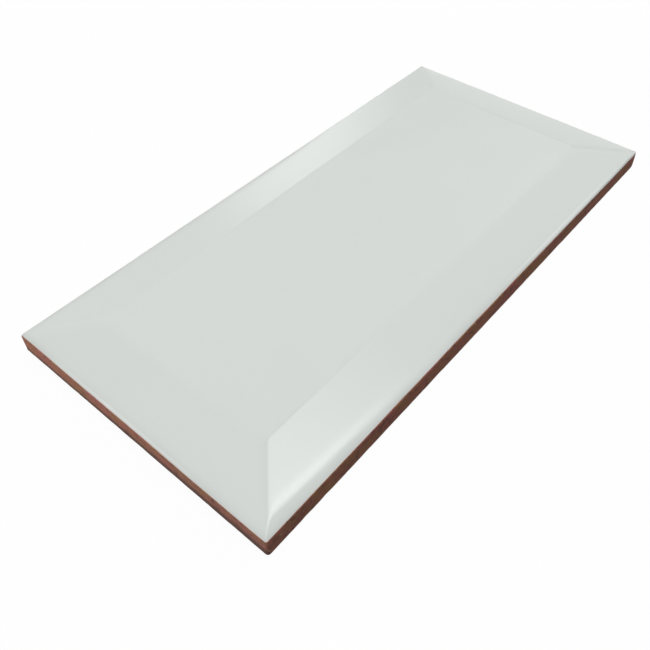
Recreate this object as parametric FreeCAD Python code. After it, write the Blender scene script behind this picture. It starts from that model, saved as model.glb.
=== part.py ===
import FreeCAD, Part
import math
import os
from FreeCAD import Vector

# Bevelled metro wall tile, glazed face up, lying on its back. Millimetres, +Z up.
# X is the length, Y the width. The origin is the middle of the back, at floor level.

# Outline and thickness. The whole tile is edge thickness and bevel rise high.
tile_length = 150.0
tile_width = 75.0
edge_thickness = 5.2        # back land to the line where bevel and side would meet unrounded
bevel_rise = 2.8            # from that line up to the flat middle of the face
bevel_width = 13.3          # from that line in to the flat middle, seen from above

# Edges
side_taper = 0.2            # how far each side leans in from its widest line up to the bevel
back_chamfer = 0.4          # small chamfer between the back and the sides
corner_radius = 0.7         # upright corners, at the widest line
top_edge_radius = 0.5       # rounding between bevel and side, where the glaze rolls over and ends
ridge_radius = 8.0          # soft rounding of the four mitres and of the flat middle's edges

# Glaze
glaze_thickness = 0.35

# Keyed back: parallel grooves that stop short of a flat rim
key_rim = 8.0               # land from the back's edge to the grooves
key_width = 5.2             # groove at its mouth
key_land = 3.0              # land between two grooves
key_depth = 0.6
key_flank = 0.4             # how far the groove's flanks lean in over its depth

tile_thickness = edge_thickness + bevel_rise
slope = math.atan2(bevel_rise, bevel_width)
overcut = 2.0               # how far a solid reaches past one that trims it


def stacked_block(sections):
    """Solid with flat faces through centred rectangles, each given as length, width and height."""
    signs = [(-1, -1), (1, -1), (1, 1), (-1, 1)]
    rings = []
    for length, width, height in sections:
        rings.append([Vector(x * length / 2, y * width / 2, height) for x, y in signs])
    outlines = [rings[0][::-1], rings[-1]]
    for lower, upper in zip(rings, rings[1:]):
        for i in range(4):
            following = (i + 1) % 4
            outlines.append([lower[i], lower[following], upper[following], upper[i]])
    faces = [Part.Face(Part.makePolygon(outline + outline[:1])) for outline in outlines]
    return Part.Solid(Part.Shell(faces))


def slab():
    """Upright part of the tile: chamfered back, tapered sides and rounded corners.

    It reaches past the height of the face. The widest line is at the top of the chamfer.
    """
    lean = side_taper / (edge_thickness - back_chamfer)
    top = tile_thickness + overcut
    sections = []
    for height in (0, top):
        inset = lean * (height - back_chamfer)
        sections.append((tile_length - 2 * inset, tile_width - 2 * inset, height))
    block = stacked_block(sections)
    upright = [edge for edge in block.Edges if edge.BoundBox.ZLength > top / 2]
    rounded = block.makeFillet(corner_radius, upright)
    back = [edge for edge in rounded.Edges if edge.BoundBox.ZMax < top / 2]
    return rounded.makeChamfer(back_chamfer, back)


def roof(depth):
    """Solid under the bevelled face, or under a surface that lies depth below it.

    Four planes rise at the bevel's slope to a flat middle, and they meet in 45 degree mitres.
    The mitres and the edges of the flat middle are rounded.
    """
    flat_inset = side_taper + bevel_width + depth * math.tan(slope / 2)
    flat_length = tile_length - 2 * flat_inset
    flat_width = tile_width - 2 * flat_inset
    flat_height = tile_thickness - depth
    foot_run = bevel_width + overcut
    foot_length = flat_length + 2 * foot_run
    foot_width = flat_width + 2 * foot_run
    foot_height = flat_height - foot_run * math.tan(slope)
    block = stacked_block([
        (foot_length, foot_width, -overcut),
        (foot_length, foot_width, foot_height),
        (flat_length, flat_width, flat_height),
    ])
    upper = [edge for edge in block.Edges if edge.BoundBox.ZMax > (foot_height + flat_height) / 2]
    return block.makeFillet(ridge_radius - depth, upper)


def tile_envelope():
    """The whole tile's outer form: the slab under the bevelled face, with its top edge rounded."""
    block = slab().common(roof(0)).Solids[0]
    top_edge = []
    for edge in block.Edges:
        steepness = []
        for face in block.ancestorsOfType(edge, Part.Face):
            middle = edge.valueAt((edge.FirstParameter + edge.LastParameter) / 2)
            steepness.append(abs(face.normalAt(*face.Surface.parameter(middle)).z))
        if min(steepness) < 0.5 < max(steepness) and edge.BoundBox.ZMin > edge_thickness / 2:
            top_edge.append(edge)
    return block.makeFillet(top_edge_radius, top_edge)


def key_grooves():
    """Parallel grooves along the back, as many as fit in its width, with sloping flanks."""
    groove_length = tile_length - 2 * (back_chamfer + key_rim)
    field_width = tile_width - 2 * (back_chamfer + key_rim)
    pitch = key_width + key_land
    count = int((field_width + key_land) // pitch)
    grooves = []
    for i in range(count):
        mouth = (groove_length, key_width, 0)
        floor = (groove_length - 2 * key_flank, key_width - 2 * key_flank, key_depth)
        groove = stacked_block([mouth, floor])
        groove.translate(Vector(0, (i - (count - 1) / 2) * pitch, 0))
        grooves.append(groove)
    return grooves


def clay_body(envelope):
    """Pressed red clay: all of the tile under the glaze, with the keyed back."""
    return envelope.common(roof(glaze_thickness)).cut(key_grooves()).Solids[0]


def glaze_coat(envelope):
    """White glaze: an even coat on the bevelled face that ends at the tile's top edge."""
    return envelope.cut(roof(glaze_thickness)).Solids[0]


envelope = tile_envelope()
pieces = {
    "clay_body": clay_body(envelope),
    "glaze_coat": glaze_coat(envelope),
}
os.makedirs("parts", exist_ok=True)
for name, piece in pieces.items():
    piece.exportStep("parts/" + name + ".step")
    box = piece.optimalBoundingBox()
    size = "%.2f x %.2f x %.2f" % (box.XLength, box.YLength, box.ZLength)
    print(name, size, "mm,", round(piece.Volume / 1000, 2), "cm3, valid", piece.isValid())
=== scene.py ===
import math

import bmesh
import bpy
import numpy as np
from mathutils import Matrix, Vector


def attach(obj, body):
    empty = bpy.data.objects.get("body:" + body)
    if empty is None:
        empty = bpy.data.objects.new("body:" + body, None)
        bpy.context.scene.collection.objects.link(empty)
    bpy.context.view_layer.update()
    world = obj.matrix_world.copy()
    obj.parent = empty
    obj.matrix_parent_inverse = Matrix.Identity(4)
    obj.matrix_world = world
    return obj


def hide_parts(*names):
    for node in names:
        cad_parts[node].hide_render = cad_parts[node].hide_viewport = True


# Bevelled metro wall tile: white glaze over a pressed red clay body.
# Sizes below are in millimetres, and meshes are written in metres.
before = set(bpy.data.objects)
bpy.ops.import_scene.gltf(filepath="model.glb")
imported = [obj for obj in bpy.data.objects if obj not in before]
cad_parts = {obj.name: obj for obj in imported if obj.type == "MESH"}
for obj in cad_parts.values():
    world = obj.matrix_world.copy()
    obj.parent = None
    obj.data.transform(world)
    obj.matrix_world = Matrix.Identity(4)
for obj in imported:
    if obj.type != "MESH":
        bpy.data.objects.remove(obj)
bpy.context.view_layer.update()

tileForm = {
    "halfLength": 75.0,
    "halfWidth": 37.5,
    "edgeHeight": 5.2,        # back to the line where bevel and side would meet unrounded
    "bevelRise": 2.8,
    "bevelWidth": 13.3,
    "sideTaper": 0.2,
    "backChamfer": 0.4,
    "cornerRadius": 0.7,
    "rimRadius": 0.5,         # roll-over between side and bevel
    "rimFall": 0.28,          # how far the glazed bevel falls off towards the rim
    "rimRun": 1.4,            # and over what distance that dies away
    "ridgeRadius": 8.0,       # rounding of the mitres
    "ridgeLeast": 0.12,       # share of that rounding at the rim
    "ridgeFade": 3.0,         # and how far in from the rim it is complete
    "flatRadius": 3.5,        # rounding of the flat middle's edges, which look crisper
    "glazeThickness": 0.35,
    "underInset": 0.9,        # where the glaze's underside begins
    "underCorner": 0.25,      # corner radius there
    "sideCorner": 0.2,        # least corner radius round the side
    "keyRim": 8.0,
    "keyWidth": 5.2,
    "keyLand": 3.0,
    "keyDepth": 0.6,
    "keyFlank": 0.4,
}

cameraSetup = {
    "azimuth": -50.28,
    "elevation": 48.87,
    "roll": 0.05,
    "distance": 161.14,
    "aim": (-23.44, -13.27, 0.0),
    "focalPixels": 699.38,
    "centrePixel": (348.5, 325.0),
    "imagePixels": 650,
    "sensor": 36.0,
    "clip": (0.005, 20.0),    # in metres
}


# Camera at azimuth, elevation and distance from the aim point, with the lens as focal length in
# pixels and the picture's centre shifted by whole-frame shares
def makeCamera(setup):
    azimuth, elevation, roll = (math.radians(setup[k]) for k in ("azimuth", "elevation", "roll"))
    back = Vector((
        math.sin(azimuth) * math.cos(elevation),
        -math.cos(azimuth) * math.cos(elevation),
        math.sin(elevation),
    ))
    level = (-back).cross(Vector((0, 0, 1))).normalized()
    drop = (-back).cross(level)
    right = math.cos(roll) * level + math.sin(roll) * drop
    down = -math.sin(roll) * level + math.cos(roll) * drop
    turn = Matrix((right, -down, back)).transposed().to_4x4()
    place = (Vector(setup["aim"]) + back * setup["distance"]) * 0.001
    data = bpy.data.cameras.new("photoCamera")
    data.sensor_width = setup["sensor"]
    data.lens = setup["sensor"] * setup["focalPixels"] / setup["imagePixels"]
    middle = setup["imagePixels"] / 2
    data.shift_x = (middle - setup["centrePixel"][0]) / setup["imagePixels"]
    data.shift_y = (setup["centrePixel"][1] - middle) / setup["imagePixels"]
    data.clip_start, data.clip_end = setup["clip"]
    camera = bpy.data.objects.new("photoCamera", data)
    camera.matrix_world = Matrix.Translation(place) @ turn
    bpy.context.scene.collection.objects.link(camera)
    bpy.context.scene.camera = camera


makeCamera(cameraSetup)
bpy.context.scene.view_settings.view_transform = "Standard"
print("camera made")


# One shader socket, so that shader maths reads as plain arithmetic
class Wire:
    def __init__(self, graph, socket):
        self.graph = graph
        self.socket = socket

    def __add__(self, other):
        return self.graph.math("ADD", self, other)

    def __radd__(self, other):
        return self.graph.math("ADD", other, self)

    def __sub__(self, other):
        return self.graph.math("SUBTRACT", self, other)

    def __rsub__(self, other):
        return self.graph.math("SUBTRACT", other, self)

    def __mul__(self, other):
        return self.graph.math("MULTIPLY", self, other)


# A node tree that starts empty. Every node comes from add: its settings first, then its sockets.
# It gives back one output, or nothing for an output node.
class Graph:
    def __init__(self, owner):
        owner.use_nodes = True
        self.tree = owner.node_tree
        self.tree.nodes.clear()

    def add(self, kind, settings, sockets, output=0):
        node = self.tree.nodes.new(kind)
        for name, value in settings.items():
            setattr(node, name, value)
        for name, value in sockets.items():
            socket = node.inputs[name]
            if isinstance(value, Wire):
                self.tree.links.new(value.socket, socket)
            else:
                socket.default_value = value
        return Wire(self, node.outputs[output]) if node.outputs else None

    def math(self, operation, first, second=0.0):
        return self.add("ShaderNodeMath", {"operation": operation}, {0: first, 1: second})

    # 0 below low, 1 above high, and a smooth step between
    def step(self, value, low, high):
        return self.add(
            "ShaderNodeMapRange",
            {"interpolation_type": "SMOOTHSTEP"},
            {"Value": value, "From Min": low, "From Max": high},
        )

    # first colour where share is 0, second where it is 1; 6, 7 and 2 are the node's colour sockets
    def blend(self, share, first, second):
        return self.add(
            "ShaderNodeMix",
            {"data_type": "RGBA"},
            {"Factor": share, 6: first, 7: second},
            2,
        )

    # soft noise from 0 to 1, from its grain size in millimetres, detail, roughness and seed
    def noise(self, place, grain, detail, roughness, seed):
        return self.add(
            "ShaderNodeTexNoise",
            {"noise_dimensions": "4D"},
            {
                "Vector": place,
                "W": seed,
                "Scale": 1000.0 / grain,
                "Detail": detail,
                "Roughness": roughness,
            },
        )

    # patches: a noise stepped from 0 at its low value to 1 at its high one
    def patches(self, place, layer):
        return self.step(self.noise(place, *layer["noise"]), layer["low"], layer["high"])


# Value noise from 0 to 1 at points given in grains: a hash at the eight whole-number corners
# round each point, blended with a smooth step
def valueNoise(points, seed):
    base = np.floor(points).astype(np.int64)
    share = points - base
    share = share * share * (3 - 2 * share)
    total = np.zeros(len(points))
    for corner in range(8):
        offset = np.array([corner & 1, corner >> 1 & 1, corner >> 2 & 1])
        x, y, z = (base + offset + seed * 131).T
        mixed = (x * 73856093) ^ (y * 19349663) ^ (z * 83492791)
        mixed = (mixed ^ (mixed >> 13)) * 1274126177 & 0x7FFFFFFF
        height = ((mixed ^ (mixed >> 16)) & 0xFFFF) / 65535.0
        weight = np.prod(np.where(offset == 1, share, 1 - share), axis=1)
        total += height * weight
    return total


# Lower of two heights, rounded over a width: the minimum less a parabola where they are close
def softMin(first, second, width):
    close = np.clip(width - np.abs(first - second), 0, None) / width
    return np.minimum(first, second) - close * close * width / 4


# Section across one edge, as height over inset from the widest line: the leaning side, a circle of
# the rim radius, and the bevel, which is a straight rise less a fall that dies away from the rim
class EdgeSection:
    def __init__(self, form):
        self.form = form
        self.lean = form["sideTaper"] / (form["edgeHeight"] - form["backChamfer"])
        self.slope = form["bevelRise"] / form["bevelWidth"]
        radius = form["rimRadius"]
        sideNormal = np.array([1, -self.lean]) / math.hypot(1, self.lean)
        sidePoint = np.array([form["sideTaper"], form["edgeHeight"]])
        touch = form["sideTaper"] + radius
        nudge = 0.001
        # the circle touches both lines, so the bevel's tangent point is found by repetition
        for turn in range(8):
            steep = (self.bevel(touch + nudge) - self.bevel(touch - nudge)) / (2 * nudge)
            bevelNormal = np.array([steep, -1]) / math.hypot(1, steep)
            bevelPoint = np.array([touch, self.bevel(touch)])
            reach = [radius + sideNormal @ sidePoint, radius + bevelNormal @ bevelPoint]
            self.centre = np.linalg.solve(np.array([sideNormal, bevelNormal]), reach)
            self.bevelEnd = self.centre - bevelNormal * radius
            touch = self.bevelEnd[0]
        self.sideEnd = self.centre - sideNormal * radius

    def bevel(self, inset):
        run = inset - self.form["sideTaper"]
        fall = self.form["rimFall"] * np.exp(-run / self.form["rimRun"])
        return self.form["edgeHeight"] + run * self.slope - fall

    def height(self, inset):
        across = np.clip(inset - self.centre[0], -self.form["rimRadius"], 0)
        circle = self.centre[1] + np.sqrt(self.form["rimRadius"] ** 2 - across**2)
        return np.where(inset < self.bevelEnd[0], circle, self.bevel(inset))

    # inset of the clay or glaze surface at a height, from the chamfer up to the bevel
    def inset(self, height):
        side = self.lean * (height - self.form["backChamfer"])
        chamfer = self.form["backChamfer"] - height
        above = np.clip(height - self.centre[1], 0, self.form["rimRadius"])
        circle = self.centre[0] - np.sqrt(self.form["rimRadius"] ** 2 - above**2)
        low = np.where(height < self.form["backChamfer"], chamfer, side)
        return np.where(height > self.sideEnd[1], circle, low)


section = EdgeSection(tileForm)
print("rim round from", section.sideEnd.round(3), "to", section.bevelEnd.round(3))
flatInset = tileForm["sideTaper"] + tileForm["bevelWidth"]
slopeAngle = math.atan(section.slope)
# rounding widths that give softMin the same run as fillets of these radii
mitreAngle = math.acos(math.cos(slopeAngle) ** 2)
mitreRun = tileForm["ridgeRadius"] * math.tan(mitreAngle / 2)
mitreSoft = math.sqrt(2) * mitreRun
flatRun = tileForm["flatRadius"] * math.tan(slopeAngle / 2)
flatSoft = flatRun * section.slope
glazeDepth = tileForm["glazeThickness"] / math.cos(slopeAngle)     # measured straight down


# Height of the glazed face, and the inset it is taken at: the bevel over the softened nearer inset,
# under the flat middle. The mitres are sharper close to the rim.
def faceHeight(x, y):
    fromEnd = tileForm["halfLength"] - np.abs(x)
    fromSide = tileForm["halfWidth"] - np.abs(y)
    fromRim = np.minimum(fromEnd, fromSide) - section.bevelEnd[0]
    share = np.clip(fromRim / tileForm["ridgeFade"], tileForm["ridgeLeast"], 1)
    inset = softMin(fromEnd, fromSide, mitreSoft * share)
    top = tileForm["edgeHeight"] + tileForm["bevelRise"]
    return softMin(section.bevel(inset), np.full_like(inset, top), flatSoft), inset


# How many points the loop round the tile and the grid on its back have
gridSteps = {
    "border": 5,              # from the field's edge to the nearest groove
    "floor": 10,              # across a groove's floor
    "land": 7,                # between two grooves
    "along": 266,             # along a groove's floor
    "corner": 7,              # round an upright corner
}


# Lines of the keyed back, in from one side to the other: evenly divided lands and groove floors,
# with one step for each sloping flank
def keyLines():
    pitch = tileForm["keyWidth"] + tileForm["keyLand"]
    border = tileForm["backChamfer"] + tileForm["keyRim"]
    halfField = tileForm["halfWidth"] - border
    count = int((2 * halfField + tileForm["keyLand"]) // pitch)
    middles = (np.arange(count) - (count - 1) / 2) * pitch
    half = tileForm["keyWidth"] / 2
    floor = half - tileForm["keyFlank"]
    lines = [np.linspace(-halfField, middles[0] - half, gridSteps["border"])]
    for i, middle in enumerate(middles):
        last = i + 1 == count
        following = halfField if last else middles[i + 1] - half
        lines.append(middle + np.linspace(-floor, floor, gridSteps["floor"]))
        lines.append(np.linspace(middle + half, following, gridSteps["border" if last else "land"]))
    across = np.concatenate(lines)
    halfLong = tileForm["halfLength"] - border
    inner = halfLong - tileForm["keyFlank"]
    along = np.concatenate([[-halfLong], np.linspace(-inner, inner, gridSteps["along"]), [halfLong]])
    return along, across, middles


# Loop round the tile, anticlockwise: the share of the straight run along each side and the
# outward direction. A ring of that loop is share times the straight run plus direction times radius.
def edgeLoop(along, across, cornerSteps):
    alongShare = along / along[-1]
    acrossShare = across / across[-1]
    arc = np.linspace(0, math.pi / 2, cornerSteps + 1)[1:-1]
    share = []
    direction = []
    sides = [
        (alongShare, -1.0, -math.pi / 2),
        (acrossShare, 1.0, 0.0),
        (alongShare[::-1], 1.0, math.pi / 2),
        (acrossShare[::-1], -1.0, math.pi),
    ]
    for i, (run, fixed, facing) in enumerate(sides):
        still = np.full_like(run, fixed)
        pair = (run, still) if i % 2 == 0 else (still, run)
        share.append(np.stack(pair, 1))
        direction.append(np.tile([math.cos(facing), math.sin(facing)], (len(run), 1)))
        share.append(np.tile(share[-1][-1], (len(arc), 1)))
        direction.append(np.stack([np.cos(facing + arc), np.sin(facing + arc)], 1))
    return np.concatenate(share), np.concatenate(direction)


# Ring at an inset, which may vary round the loop: an offset of the widest line, whose corner
# radius shrinks with the inset down to a least radius
def ringAt(loop, inset, leastRadius):
    share, direction = loop
    inset = np.broadcast_to(np.asarray(inset, float), len(share))
    radius = np.maximum(tileForm["cornerRadius"] - inset, leastRadius)[:, None]
    straight = np.array([tileForm["halfLength"], tileForm["halfWidth"]]) - inset[:, None] - radius
    return share * straight + direction * radius


# Quads between rings of equal count, facing outwards where later rings lie further up or in
def ringFaces(ringCount, pointCount, first=0):
    ring = np.arange(ringCount - 1)[:, None] * pointCount
    point = np.arange(pointCount)[None, :]
    following = (point + 1) % pointCount
    corners = [ring + point, ring + following, ring + pointCount + following, ring + pointCount + point]
    return np.stack(corners, -1).reshape(-1, 4) + first


meshSetup = {
    "weld": 0.002,            # points closer than this become one
    "sliver": 0.0001,         # and edges shorter than this go
    "crease": 38,             # angle in degrees above which an edge is shaded sharp
}


# Mesh object from points in millimetres, lists of faces and named values for each point. Welding
# close points closes the corners and the middle.
def makePiece(name, points, faceGroups, values):
    mesh = bpy.data.meshes.new(name)
    faces = [face for group in faceGroups for face in np.asarray(group).tolist()]
    mesh.from_pydata((points * 0.001).tolist(), [], faces)
    for label, numbers in values.items():
        layer = mesh.attributes.new(label, "FLOAT", "POINT")
        layer.data.foreach_set("value", np.asarray(numbers, np.float32))
    work = bmesh.new()
    work.from_mesh(mesh)
    bmesh.ops.remove_doubles(work, verts=work.verts, dist=meshSetup["weld"] * 0.001)
    bmesh.ops.dissolve_degenerate(work, edges=work.edges, dist=meshSetup["sliver"] * 0.001)
    work.to_mesh(mesh)
    work.free()
    mesh.polygons.foreach_set("use_smooth", np.ones(len(mesh.polygons), bool))
    mesh.set_sharp_from_angle(angle=math.radians(meshSetup["crease"]))
    piece = bpy.data.objects.new(name, mesh)
    bpy.context.scene.collection.objects.link(piece)
    triangles = sum(len(face.vertices) - 2 for face in mesh.polygons)
    print(name, "has", triangles, "triangles")
    return piece


keyAlong, keyAcross, keyMiddles = keyLines()
loop = edgeLoop(keyAlong, keyAcross, gridSteps["corner"])
loopCount = len(loop[0])

glazeEdge = {
    "height": 4.98,           # where the glaze ends, part of the way round the rim
    # places that the line is drawn up or down at: x, y, how far that reaches, and by how much
    "pulls": (
        (75, -37.5, 45, -0.22),
        (75, 37.5, 45, -0.12),
        (-12, -37.5, 26, 0.09),
        (-75, -20, 20, -0.06),
    ),
    "wander": 0.05,           # how far the line strays up and down
    "wanderGrain": 6.0,
    "wanderFiner": 3.5,       # how many times finer its quick part is
    "wanderShares": (1.3, 0.6),                  # of the slow part and of the quick one
    "belowTop": 0.05,         # how far out from the end of the rim's round the line stays
    "belowSoft": 0.04,
    "lip": 0.04,              # how far the glaze stands proud of the clay at its line
    # stretches of painted highlight next to the glaze line, whiter glaze where the rim's rounding
    # reflects light: x, y, half the length, how far in from the line, half the width, and how white
    "paintedHighlights": (
        (-75, 2, 20, 0.42, 0.22, 0.55),
        (30, -37.5, 25, 0.88, 0.28, 0.55),
    ),
}


# Height of the glaze line round the tile: a level, plus a smooth bump at each pull, plus a stray that
# is the sum of a slow and a quick noise
def glazeLine():
    rim = ringAt(loop, tileForm["sideTaper"], tileForm["sideCorner"])
    points = np.column_stack([rim, np.zeros(loopCount)])
    grain = glazeEdge["wanderGrain"]
    slow = valueNoise(points / grain, seed=3) - 0.5
    quick = valueNoise(points / (grain / glazeEdge["wanderFiner"]), seed=4) - 0.5
    slowShare, quickShare = glazeEdge["wanderShares"]
    line = glazeEdge["height"] + glazeEdge["wander"] * (slowShare * slow + quickShare * quick)
    for x, y, reach, amount in glazeEdge["pulls"]:
        distance = np.hypot(rim[:, 0] - x, rim[:, 1] - y)
        line += amount * np.exp(-((distance / reach) ** 2))
    return line


# the line stays a little below the top of the rim, so that the glaze begins on its round
lineTop = section.height(section.bevelEnd[0] - glazeEdge["belowTop"])
lineHeight = softMin(glazeLine(), lineTop, glazeEdge["belowSoft"])
lineInset = section.inset(lineHeight)


# Ring where glaze and clay meet under the glaze: the bevel's height at a level's inset, less the
# glaze's depth, laid at an inset that may be further in
def underRing(level, inset):
    height = section.bevel(np.full(loopCount, level)) - glazeDepth
    return np.column_stack([ringAt(loop, inset, tileForm["underCorner"]), height])


glazeForm = {
    "rimSteps": 9,
    "highlightSteps": 10,
    "highlightEnd": 1.9,           # how far in the painted highlights can be
    "bevelSteps": 25,
    "softSteps": 12,
    "softMargin": 0.4,        # how far the close rings go beyond the rounded edge of the middle
    "middleSteps": 21,
    "corner": 0.15,           # least corner radius of the rings
    "refill": 0.85,           # how much of the rim's fall is filled again where the glaze ran to +X
    "refillFrom": -5.0,
    "refillTo": 45.0,
    "waves": ((26.0, 0.020), (8.0, 0.014)),      # grain and height of the slow unevenness
    "waveShift": 40,          # in grains, which picks the stretch of the noise
    "waveFade": 2.0,          # how far in from the rim the waves are whole
    "topMargin": 0.03,        # how far the face lies below that of the solids, as room for the waves
    "farthest": 10,           # distance from the line that the material still tells apart
    "underGap": 0.3,          # how far in from the line the underside stays
}


# How much the rim's fall is filled: that fall times a share that grows smoothly towards +X
def rimRefill(x, inset):
    along = (x - glazeForm["refillFrom"]) / (glazeForm["refillTo"] - glazeForm["refillFrom"])
    along = np.clip(along, 0, 1)
    fall = tileForm["rimFall"] * np.exp(-(inset - tileForm["sideTaper"]) / tileForm["rimRun"])
    return glazeForm["refill"] * along * along * (3 - 2 * along) * fall


# How much painted highlight there is at each point: for each stretch, a bump along it times one across it
def paintedHighlightShare(spot, fromLine):
    total = np.zeros(len(spot))
    for x, y, reach, middle, width, amount in glazeEdge["paintedHighlights"]:
        along = np.hypot(spot[:, 0] - x, spot[:, 1] - y) / reach
        across = (fromLine - middle) / width
        total += amount * np.exp(-(along**4) - across * across)
    return np.clip(total, 0, 1)


# White glaze: rings from the glaze line over the rim, up the bevel and across the flat middle to
# its centre line. Height goes over from the edge section at the line to the face height at the
# bevel, plus waves. Each point keeps its distance in from the line and its share of painted
# highlight for the material.
def makeGlaze():
    rimShare = np.linspace(0, 1, glazeForm["rimSteps"])
    bevelEnd = section.bevelEnd[0]
    insets = [lineInset + (bevelEnd - lineInset) * s for s in rimShare]
    insets += list(np.linspace(bevelEnd, glazeForm["highlightEnd"], glazeForm["highlightSteps"])[1:])
    soften = flatRun + glazeForm["softMargin"]
    insets += list(np.linspace(insets[-1], flatInset - soften, glazeForm["bevelSteps"])[1:])
    insets += list(np.linspace(flatInset - soften, flatInset + soften, glazeForm["softSteps"])[1:])
    insets += list(np.linspace(flatInset + soften, tileForm["halfWidth"], glazeForm["middleSteps"])[1:])
    rings = []
    fromLine = []
    paintedHighlight = []
    for i, inset in enumerate(insets):
        least = glazeForm["corner"] if i < len(insets) - 1 else 0.0
        spot = ringAt(loop, inset, least)
        inset = np.broadcast_to(inset, loopCount)
        face, soft = faceHeight(spot[:, 0], spot[:, 1])
        over = np.clip((inset - lineInset) / (bevelEnd - lineInset), 0, 1)
        lift = face - section.bevel(inset) + rimRefill(spot[:, 0], soft)
        height = section.height(inset) + over * lift
        points = np.column_stack([spot, height])
        fromLine.append(np.clip(inset - lineInset, 0, glazeForm["farthest"]))
        paintedHighlight.append(paintedHighlightShare(spot, fromLine[-1]))
        rise = np.zeros(loopCount)
        for seed, (grain, amount) in enumerate(glazeForm["waves"], 11):
            flatPoints = points * [1, 1, 0] / grain + glazeForm["waveShift"]
            rise += (valueNoise(flatPoints, seed) - 0.5) * 2 * amount
        whole = np.clip((soft - bevelEnd) / glazeForm["waveFade"], 0, 1)
        points[:, 2] += rise * whole - glazeForm["topMargin"] * over
        rings.append(points)
    outerCount = len(rings)
    under = []
    for level in (tileForm["underInset"], flatInset):
        under.append(underRing(level, np.maximum(level, lineInset + glazeForm["underGap"])))
        fromLine.append(np.zeros(loopCount))
        paintedHighlight.append(np.zeros(loopCount))
    points = np.concatenate(rings + under)
    outer = ringFaces(outerCount, loopCount)
    start = outerCount * loopCount
    index = np.arange(loopCount)
    following = (index + 1) % loopCount
    lip = np.stack([index, start + index, start + following, following], 1)
    inner = ringFaces(2, loopCount, start)[:, ::-1]
    closing = [(start + loopCount + index)[::-1]]
    values = {"fromLine": np.concatenate(fromLine), "paintedHighlight": np.concatenate(paintedHighlight)}
    return makePiece("glazed_face", points, [outer, lip, inner, closing], values)


clayForm = {
    "backRings": ((5.5, 0.1), (2.8, 0.2), (1.6, 0.3), (0.9, 0.3)),     # inset and corner radius
    "chamferLevels": (0.0, 0.13, 0.27, 0.4),
    "bodyFrom": 0.6,
    "bodyTo": 4.3,
    "bodyRows": 13,
    "lineShares": (0.3, 0.55, 0.75, 0.9, 1.0),     # levels from there up to the glaze line
    "sideRelief": ((0.9, 0.035), (2.6, 0.03)),     # grain and depth of the pressed side
    "sideFade": 0.6,          # how far below the glaze line that begins to die away
    "backRelief": ((1.1, 0.03), (4.0, 0.03)),
    "backFade": (0.4, 1.2),   # insets between which the back's relief grows to its whole depth
    "reliefShift": 60,        # in grains
    "chips": 0.09,            # deepest wear of the back edge
    "chipGrain": 3.1,
    "chipShift": 20,
    "chipLeast": 0.7,         # noise above which the edge is worn
    "chipTop": 1.3,           # height that the wear reaches
}


# Sum of value noises, each a grain size and a depth
def relief(points, layers, seed):
    total = np.zeros(len(points))
    for i, (grain, amount) in enumerate(layers):
        total += valueNoise(points / grain + clayForm["reliefShift"], seed + i) * amount
    return total


# Red clay: rings from the keyed field out over the rim land, up the side to the glaze line and in
# under the glaze, and a grid of grooves whose depth is the least of floor and flanks. Relief only
# goes into the body: the side moves in along its outward direction and the back moves up.
def makeClay():
    border = tileForm["backChamfer"] + tileForm["keyRim"]
    fadeFrom, fadeTo = clayForm["backFade"]
    rings = []
    for inset, least in ((border, 0.0), *clayForm["backRings"]):
        points = np.column_stack([ringAt(loop, inset, least), np.zeros(loopCount)])
        fade = min((inset - fadeFrom) / (fadeTo - fadeFrom), 1)
        points[:, 2] += relief(points, clayForm["backRelief"], seed=31) * fade
        rings.append(points)
    bodyFrom, bodyTo = clayForm["bodyFrom"], clayForm["bodyTo"]
    body = np.linspace(bodyFrom, bodyTo, clayForm["bodyRows"])
    levels = [np.full(loopCount, z) for z in (*clayForm["chamferLevels"], *body)]
    levels += [bodyTo + (lineHeight - bodyTo) * share for share in clayForm["lineShares"]]
    for level in levels:
        inset = section.inset(level)
        points = np.column_stack([ringAt(loop, inset, tileForm["sideCorner"]), level])
        wear = valueNoise(points / clayForm["chipGrain"] + clayForm["chipShift"], seed=41)
        chip = np.clip(wear - clayForm["chipLeast"], 0, None) / (1 - clayForm["chipLeast"])
        move = relief(points, clayForm["sideRelief"], seed=21)
        move += chip * clayForm["chips"] * np.clip(clayForm["chipTop"] - level, 0, 1)
        move *= np.clip((lineHeight - level) / clayForm["sideFade"], 0, 1)
        lip = glazeEdge["lip"] * np.clip((level - bodyTo) / (lineHeight - bodyTo), 0, 1)
        points[:, :2] -= loop[1] * (move + lip)[:, None]
        rings.append(points)
    rings += [underRing(level, level) for level in (tileForm["underInset"], flatInset)]
    ringCount = len(rings)

    x, y = np.meshgrid(keyAlong, keyAcross)
    gap = np.min(np.abs(y[..., None] - keyMiddles), axis=-1)
    fromSide = (tileForm["keyWidth"] / 2 - gap) / tileForm["keyFlank"]
    fromEnd = (keyAlong[-1] - np.abs(x)) / tileForm["keyFlank"]
    sunk = np.clip(np.minimum(fromSide, fromEnd), 0, 1) * tileForm["keyDepth"]
    flat = np.stack([x, y, np.zeros_like(x)], -1).reshape(-1, 3)
    raised = sunk.reshape(-1) + relief(flat, clayForm["backRelief"], seed=31)
    field = flat + np.array([0, 0, 1]) * raised[:, None]

    rows, columns = x.shape
    corner = np.arange(rows - 1)[:, None] * columns + np.arange(columns - 1)[None, :]
    corner = corner.reshape(-1) + ringCount * loopCount
    fieldFaces = np.stack([corner, corner + columns, corner + columns + 1, corner + 1], 1)
    closing = [(ringCount - 1) * loopCount + np.arange(loopCount)]
    faces = [ringFaces(ringCount, loopCount), fieldFaces, closing]
    return makePiece("clay_biscuit", np.concatenate(rings + [field]), faces, {})


glaze = makeGlaze()
clay = makeClay()
print("pieces made")

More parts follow.
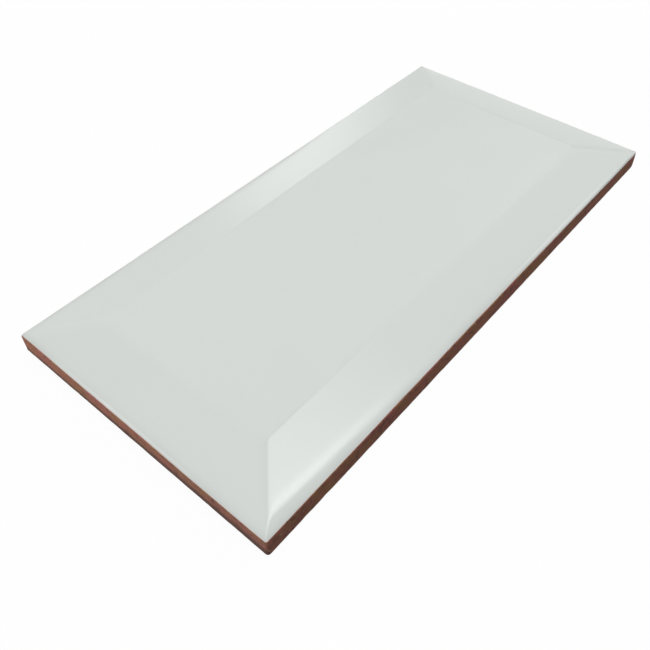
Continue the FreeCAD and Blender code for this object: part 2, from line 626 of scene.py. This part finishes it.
# Each noise in the looks is a grain size in millimetres, detail, roughness and seed
glazeLook = {
    "white": (0.735, 0.775, 0.746, 1),
    "cloudy": (0.723975, 0.763375, 0.73481, 1),  # what the white drifts to
    "cloud": (14, 3, 0.6, 1.0),
    "shade": (0, 0, 0, 1),
    "rimShade": 0.24,         # how much darker the rim is: thin glaze, and partly painted shade of the rolled rim
    "rimFade": -1.6,          # and how fast that dies away, for each millimetre
    "patchy": dict(noise=(18, 1, 0.5, 9.0), low=0.3, high=0.7, least=0.5, more=0.7),
    "highlightWhite": (0.87, 0.89, 0.87, 1),
    "highlightNoise": (5.0, 2, 0.5, 12.0),
    "highlightLeast": 0.6,
    "highlightMore": 0.7,
    "thinTint": (0.70, 0.55, 0.49, 1),
    "thinShare": 0.65,        # how much of the clay's tint shows at the line
    "thinFrom": 0.05,         # distances from the line between which it ends
    "thinTo": 0.24,
    "ragged": (0.8, 2, 0.6, 2.0),
    "raggedness": 0.14,
    "peel": (2.4, 1, 0.4, 5.0),
    "peelHeight": 0.35,       # against a pinhole's depth of 1
    "pinApart": 9.0,
    "pinFrom": 0.012,         # where a pinhole's wall begins and ends, as shares of that
    "pinTo": 0.035,
    "bumpStrength": 0.25,
    "bumpDistance": 0.00002,  # in metres
    "roughness": 0.09,
    "smudge": (6.0, 3, 0.6, 7.0),
    "smudgeRoughness": 0.03,
    "thinRoughness": 0.15,
    "ior": 1.5,
}


# White glaze: even white with a very faint cloudiness, clay-tinted right at its line and greyer over
# the next millimetre, partly thin glaze and partly painted shade of the rolled rim, less so towards +X
# where it reaches lower, with painted highlights as whiter stretches by the rim, a few pinholes and a
# slight orange-peel unevenness
def glazeMaterial(look):
    material = bpy.data.materials.new("whiteGlaze")
    graph = Graph(material)
    place = graph.add("ShaderNodeTexCoord", {}, {}, "Object")
    x = graph.add("ShaderNodeSeparateXYZ", {}, {"Vector": place}, 0) * 1000
    fromLine = graph.add("ShaderNodeAttribute", {"attribute_name": "fromLine"}, {}, "Fac")
    paintedHighlight = graph.add("ShaderNodeAttribute", {"attribute_name": "paintedHighlight"}, {}, "Fac")

    colour = graph.blend(graph.noise(place, *look["cloud"]), look["white"], look["cloudy"])
    refilled = graph.step(x, glazeForm["refillFrom"], glazeForm["refillTo"]) * glazeForm["refill"]
    patchy = graph.patches(place, look["patchy"]) * look["patchy"]["more"] + look["patchy"]["least"]
    # painted shade, in part: the rim's darker band is thin glaze and partly the shade of its rolled edge
    fade = graph.math("EXPONENT", fromLine * look["rimFade"])
    shade = fade * (1 - refilled) * patchy * look["rimShade"]
    colour = graph.blend(shade, colour, look["shade"])
    # painted highlight: whiter glaze stands in for the reflection on the rim's rounding
    uneven = look["highlightLeast"] + graph.noise(place, *look["highlightNoise"]) * look["highlightMore"]
    colour = graph.blend(paintedHighlight * uneven, colour, look["highlightWhite"])
    ragged = graph.noise(place, *look["ragged"]) * look["raggedness"]
    thin = 1 - graph.step(fromLine + ragged, look["thinFrom"], look["thinTo"])
    colour = graph.blend(thin * look["thinShare"], colour, look["thinTint"])

    pin = graph.add(
        "ShaderNodeTexVoronoi",
        {"voronoi_dimensions": "3D", "feature": "F1"},
        {"Vector": place, "Scale": 1000 / look["pinApart"], "Randomness": 1.0},
    )
    hole = 1 - graph.step(pin, look["pinFrom"], look["pinTo"])
    bump = graph.add(
        "ShaderNodeBump",
        {},
        {
            "Height": graph.noise(place, *look["peel"]) * look["peelHeight"] - hole,
            "Strength": look["bumpStrength"],
            "Distance": look["bumpDistance"],
        },
    )
    smudge = graph.noise(place, *look["smudge"]) * look["smudgeRoughness"]
    shader = graph.add(
        "ShaderNodeBsdfPrincipled",
        {},
        {
            "Base Color": colour,
            "Roughness": look["roughness"] + smudge + thin * look["thinRoughness"],
            "IOR": look["ior"],
            "Normal": bump,
        },
    )
    graph.add("ShaderNodeOutputMaterial", {}, {"Surface": shader})
    return material


clayLook = {
    "rust": (0.385, 0.158, 0.095, 1),
    # patches that lie over the rust in this order, from nothing where their noise is at low to whole
    # at high
    "rosy": dict(colour=(0.400, 0.142, 0.107, 1), noise=(4.6, 2, 0.5, 1.0), low=0.44, high=0.58),
    "sandy": dict(colour=(0.370, 0.176, 0.083, 1), noise=(3.4, 2, 0.5, 2.0), low=0.50, high=0.62),
    "sandyShare": 0.9,
    "burnt": dict(colour=(0.205, 0.088, 0.057, 1), noise=(2.4, 2, 0.6, 6.0), low=0.50, high=0.68),
    "burntShare": 0.7,
    "burntCorner": 0.45,      # how much more towards the -X end's -Y corner
    "dark": (0.075, 0.035, 0.028, 1),
    "grain": dict(noise=(0.5, 3, 0.7, 3.0), low=0.35, high=0.75),
    "grainShare": 0.22,
    "speck": dict(noise=(0.8, 1, 0.5, 4.0), low=0.62, high=0.72),
    "speckShare": 0.65,
    "crumb": dict(colour=(0.60, 0.39, 0.29, 1), noise=(0.7, 1, 0.5, 5.0), low=0.66, high=0.78),
    "crumbShare": 0.5,
    "end": (-74.9, -74.0),    # from the -X end's face to where it no longer counts
    "across": (-40, 40),      # from the near corner to the far one
    # painted shade along the clay's foot, standing in for the shadow at its lower edge
    "paintedFootShade": 0.87,             # how dark the lower edge is
    "footLow": 0.8,           # height of the dark foot on most sides
    "footHigh": 1.75,         # on the -X end
    "footCorner": 0.85,       # and how much more towards that end's -Y corner
    # noise that makes the edge of the painted foot shade ragged
    "footShadeNoise": (2.2, 2, 0.6, 8.0),
    "footRagged": 0.5,
    "footFade": (-0.5, 0.9),  # where it begins and ends to fade, from its height
    "speckDepth": -0.5,       # against a grain's height of 1
    "bumpStrength": 0.5,
    "bumpDistance": 0.00008,  # in metres
    "roughness": 0.82,
    "grainRoughness": 0.12,
    "ior": 1.45,
}


# Red clay: rust that drifts to rose, ochre and brown in patches, with fine dark and pale grains and a
# granular surface. Its foot has painted shade, darker up to a height that grows towards the -X end's -Y
# corner.
def clayMaterial(look):
    material = bpy.data.materials.new("redClay")
    graph = Graph(material)
    place = graph.add("ShaderNodeTexCoord", {}, {}, "Object")
    x, y, height = (graph.add("ShaderNodeSeparateXYZ", {}, {"Vector": place}, i) * 1000 for i in range(3))
    atEnd = 1 - graph.step(x, *look["end"])
    nearCorner = 1 - graph.step(y, *look["across"])
    rosy, sandy, burnt, speck, crumb = (
        graph.patches(place, look[layer]) for layer in ("rosy", "sandy", "burnt", "speck", "crumb")
    )
    grain = graph.noise(place, *look["grain"]["noise"])
    gritty = graph.step(grain, look["grain"]["low"], look["grain"]["high"])

    colour = graph.blend(rosy, look["rust"], look["rosy"]["colour"])
    colour = graph.blend(sandy * look["sandyShare"], colour, look["sandy"]["colour"])
    brown = burnt * look["burntShare"] + atEnd * nearCorner * nearCorner * look["burntCorner"]
    colour = graph.blend(brown, colour, look["burnt"]["colour"])
    colour = graph.blend(gritty * look["grainShare"], colour, look["dark"])
    colour = graph.blend(speck * look["speckShare"], colour, look["dark"])
    colour = graph.blend(crumb * look["crumbShare"], colour, look["crumb"]["colour"])
    # painted shade on the foot: its height, taller at the -X end towards its -Y corner
    atEndFoot = look["footHigh"] - look["footLow"] + nearCorner * look["footCorner"]
    tall = look["footLow"] + atEnd * atEndFoot
    ragged = (grain + graph.noise(place, *look["footShadeNoise"])) * look["footRagged"]
    paintedFootShade = 1 - graph.step(height + ragged - tall, *look["footFade"])
    colour = graph.blend(paintedFootShade * look["paintedFootShade"], colour, look["dark"])

    bump = graph.add(
        "ShaderNodeBump",
        {},
        {
            "Height": grain + speck * look["speckDepth"],
            "Strength": look["bumpStrength"],
            "Distance": look["bumpDistance"],
        },
    )
    shader = graph.add(
        "ShaderNodeBsdfPrincipled",
        {},
        {
            "Base Color": colour,
            "Roughness": look["roughness"] + grain * look["grainRoughness"],
            "IOR": look["ior"],
            "Normal": bump,
        },
    )
    graph.add("ShaderNodeOutputMaterial", {}, {"Surface": shader})
    return material


glaze.data.materials.append(glazeMaterial(glazeLook))
clay.data.materials.append(clayMaterial(clayLook))
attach(glaze, "root")
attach(clay, "root")
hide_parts("glaze_coat")
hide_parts("clay_body")
print("materials made")

# Soft boxes as azimuth from +Y towards +X and elevation, both in degrees, with how softly they end.
# The ceiling is a round light, from its full inner angle to nothing at the outer one. Power is what
# matte surfaces get, and gloss is what shows in shiny ones.
studio = {
    "surround": dict(power=0.04, gloss=0.24),
    "horizon": dict(full=2, end=12, gloss=0.6),
    "ceiling": dict(azimuth=150, elevation=84, inner=16, outer=30, power=4.17, gloss=0.0),
    "boxes": {
        "left": dict(at=288, half=40, base=0, top=9, soft=(14, 4), power=9.5, gloss=0.2),
        "right": dict(at=78.5, half=30, base=8, top=34, soft=(12, 6), power=3.9, gloss=0.0),
        "rightHigh": dict(at=105, half=35, base=30, top=66, soft=(16, 6), power=0.0, gloss=0.6),
        "nearGlow": dict(at=90, half=16, base=65, top=110, soft=(6, 9), power=0.0, gloss=3.15),
        "nearStrip": dict(at=103, half=5, base=63, top=110, soft=(2.5, 9.5), power=0.0, gloss=3.8),
        "back": dict(at=50, half=32, base=32, top=52, soft=(12, 6), power=0.0, gloss=0.25),
        "farSide": dict(at=66, half=16, base=4, top=14, soft=(8, 3), power=0.0, gloss=0.13),
        "farLamp": dict(at=37.5, half=6, base=12, top=21, soft=(5, 1.5), power=0.0, gloss=1.15),
        "farGlow": dict(at=40, half=12, base=10, top=26, soft=(10, 4), power=0.0, gloss=0.1),
    },
    "floorHalf": 3.0,         # half the floor's side, in metres
    "floorWhite": 0.95,       # how much of the floor's look is plain white, the rest being lit
    "floorSeen": 0.95,        # its colour where it is seen
    "floorAlbedo": 0.08,      # and for the light that it throws back on to the object
}


# Studio light by direction: a dim surround, a round ceiling light and soft boxes at its sides, each
# with one level for matte surfaces and one for gloss. Gloss sees the white backdrop along the
# horizon, and the camera sees plain white all over.
def makeStudio(setup):
    world = bpy.data.worlds.new("studio")
    bpy.context.scene.world = world
    graph = Graph(world)
    toward = graph.add("ShaderNodeTexCoord", {}, {}, "Generated")
    x, y, z = (graph.add("ShaderNodeSeparateXYZ", {}, {"Vector": toward}, i) for i in range(3))
    elevation = graph.math("ARCSINE", z) * math.degrees(1)
    azimuth = graph.math("FLOORED_MODULO", graph.math("ARCTAN2", x, y) * math.degrees(1), 360.0)
    ceiling = setup["ceiling"]
    turn, lift = math.radians(ceiling["azimuth"]), math.radians(ceiling["elevation"])
    middle = (math.sin(turn) * math.cos(lift), math.cos(turn) * math.cos(lift), math.sin(lift))
    near = x * middle[0] + y * middle[1] + z * middle[2]
    angle = graph.math("ARCCOSINE", graph.math("MINIMUM", near, 1.0)) * math.degrees(1)
    disc = 1 - graph.step(angle, ceiling["inner"], ceiling["outer"])
    matte = setup["surround"]["power"] + disc * ceiling["power"]
    mirrored = setup["surround"]["gloss"] + disc * ceiling["gloss"]
    backdrop = 1 - graph.step(elevation, setup["horizon"]["full"], setup["horizon"]["end"])
    mirrored = mirrored + backdrop * setup["horizon"]["gloss"]
    for box in setup["boxes"].values():
        side = graph.math("ABSOLUTE", azimuth - box["at"])
        across, up = box["soft"]
        inside = 1 - graph.step(side, box["half"] - across, box["half"] + across)
        lower = graph.step(elevation, box["base"] - up, box["base"] + up)
        upper = 1 - graph.step(elevation, box["top"] - up, box["top"] + up)
        share = inside * lower * upper
        if box["power"]:
            matte = matte + share * box["power"]
        if box["gloss"]:
            mirrored = mirrored + share * box["gloss"]
    glossy = graph.add("ShaderNodeLightPath", {}, {}, "Is Glossy Ray")
    light = matte * (1 - glossy) + mirrored * glossy
    seen = graph.add("ShaderNodeLightPath", {}, {}, "Is Camera Ray")
    through = graph.add("ShaderNodeLightPath", {}, {}, "Is Transmission Ray")
    plain = graph.math("MAXIMUM", seen, through)
    strength = light * (1 - plain) + plain
    background = graph.add("ShaderNodeBackground", {}, {"Color": (1, 1, 1, 1), "Strength": strength})
    graph.add("ShaderNodeOutputWorld", {}, {"Surface": background})


# Pale floor: mostly white of its own to the eye, so that the object's shadow is only a trace, and
# dull in the light that it throws back on to the object
def makeFloor(setup):
    size = setup["floorHalf"]
    mesh = bpy.data.meshes.new("studioFloor")
    corners = [(-size, -size, 0), (size, -size, 0), (size, size, 0), (-size, size, 0)]
    mesh.from_pydata(corners, [], [(0, 1, 2, 3)])
    floor = bpy.data.objects.new("studioFloor", mesh)
    bpy.context.scene.collection.objects.link(floor)
    material = bpy.data.materials.new("studioFloor")
    graph = Graph(material)
    kinds = ("Is Camera Ray", "Is Glossy Ray", "Is Transmission Ray")
    camera, glossy, through = (graph.add("ShaderNodeLightPath", {}, {}, kind) for kind in kinds)
    seen = graph.math("MAXIMUM", graph.math("MAXIMUM", camera, glossy), through)
    shade = setup["floorAlbedo"] + seen * (setup["floorSeen"] - setup["floorAlbedo"])
    colour = graph.add("ShaderNodeCombineColor", {}, {"Red": shade, "Green": shade, "Blue": shade})
    matte = graph.add("ShaderNodeBsdfDiffuse", {}, {"Color": colour})
    glow = graph.add("ShaderNodeEmission", {}, {"Color": (1, 1, 1, 1), "Strength": 1.0})
    mixed = graph.add("ShaderNodeMixShader", {}, {0: seen * setup["floorWhite"], 1: matte, 2: glow})
    graph.add("ShaderNodeOutputMaterial", {}, {"Surface": mixed})
    mesh.materials.append(material)


makeStudio(studio)
makeFloor(studio)
print("studio made")
